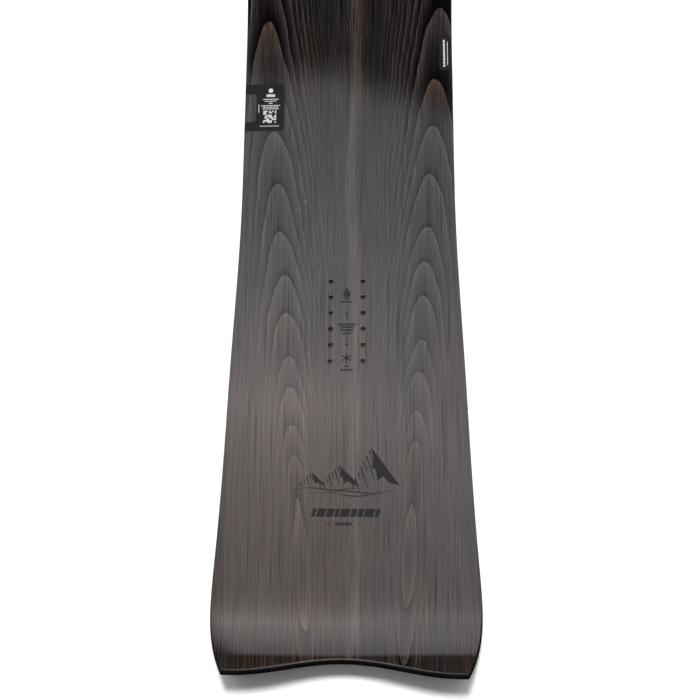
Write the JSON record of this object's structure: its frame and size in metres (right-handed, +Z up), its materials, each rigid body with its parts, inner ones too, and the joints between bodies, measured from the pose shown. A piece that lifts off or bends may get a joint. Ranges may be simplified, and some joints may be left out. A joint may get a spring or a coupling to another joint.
{
  "type": "snowboard",
  "caption": "Directional snowboard with a dark book-matched veneer top sheet, twin screw-insert packs, steel edges and a shallow scooped tail.",
  "frame": {"origin": "centre of the board's bounding box on the plane of the flat running base", "axes": "+X across the board to the rider's right when facing the nose, +Y along the board to the nose, +Z up from the base to the top sheet"},
  "size_m": [0.3198, 1.582, 0.0498],
  "materials": {
    "base_polyethylene": "satin",
    "edge_steel": "brushed",
    "foil_rubber": "matte",
    "glass_laminate": "satin",
    "sidewall_abs": "satin",
    "spacer_abs": "satin",
    "core_soft_wood": "sawn",
    "core_hard_wood": "sawn",
    "veneer": "gloss lacquer",
    "label_film": "gloss",
    "insert_steel": "turned"
  },
  "bodies": {
    "root": {"base_sheet": "base_polyethylene", "steel_edge_left": "edge_steel", "steel_edge_right": "edge_steel", "rubber_foil_left": "foil_rubber", "rubber_foil_right": "foil_rubber", "glass_bottom": "glass_laminate", "glass_top": "glass_laminate", "sidewall_left": "sidewall_abs", "sidewall_right": "sidewall_abs", "spacer_tail": "spacer_abs", "spacer_nose": "spacer_abs", "core_centre": "core_hard_wood", "core_inner_left": "core_soft_wood", "core_inner_right": "core_soft_wood", "core_mid_left": "core_soft_wood", "core_mid_right": "core_soft_wood", "core_stringer_left": "core_hard_wood", "core_stringer_right": "core_hard_wood", "core_outer_left": "core_soft_wood", "core_outer_right": "core_soft_wood", "core_rail_left": "core_hard_wood", "core_rail_right": "core_hard_wood", "veneer_left": "veneer", "veneer_right": "veneer", "label_left": "label_film", "label_right": "label_film", "inserts_rear": "insert_steel", "inserts_front": "insert_steel"}
  },
  "joints": []
}
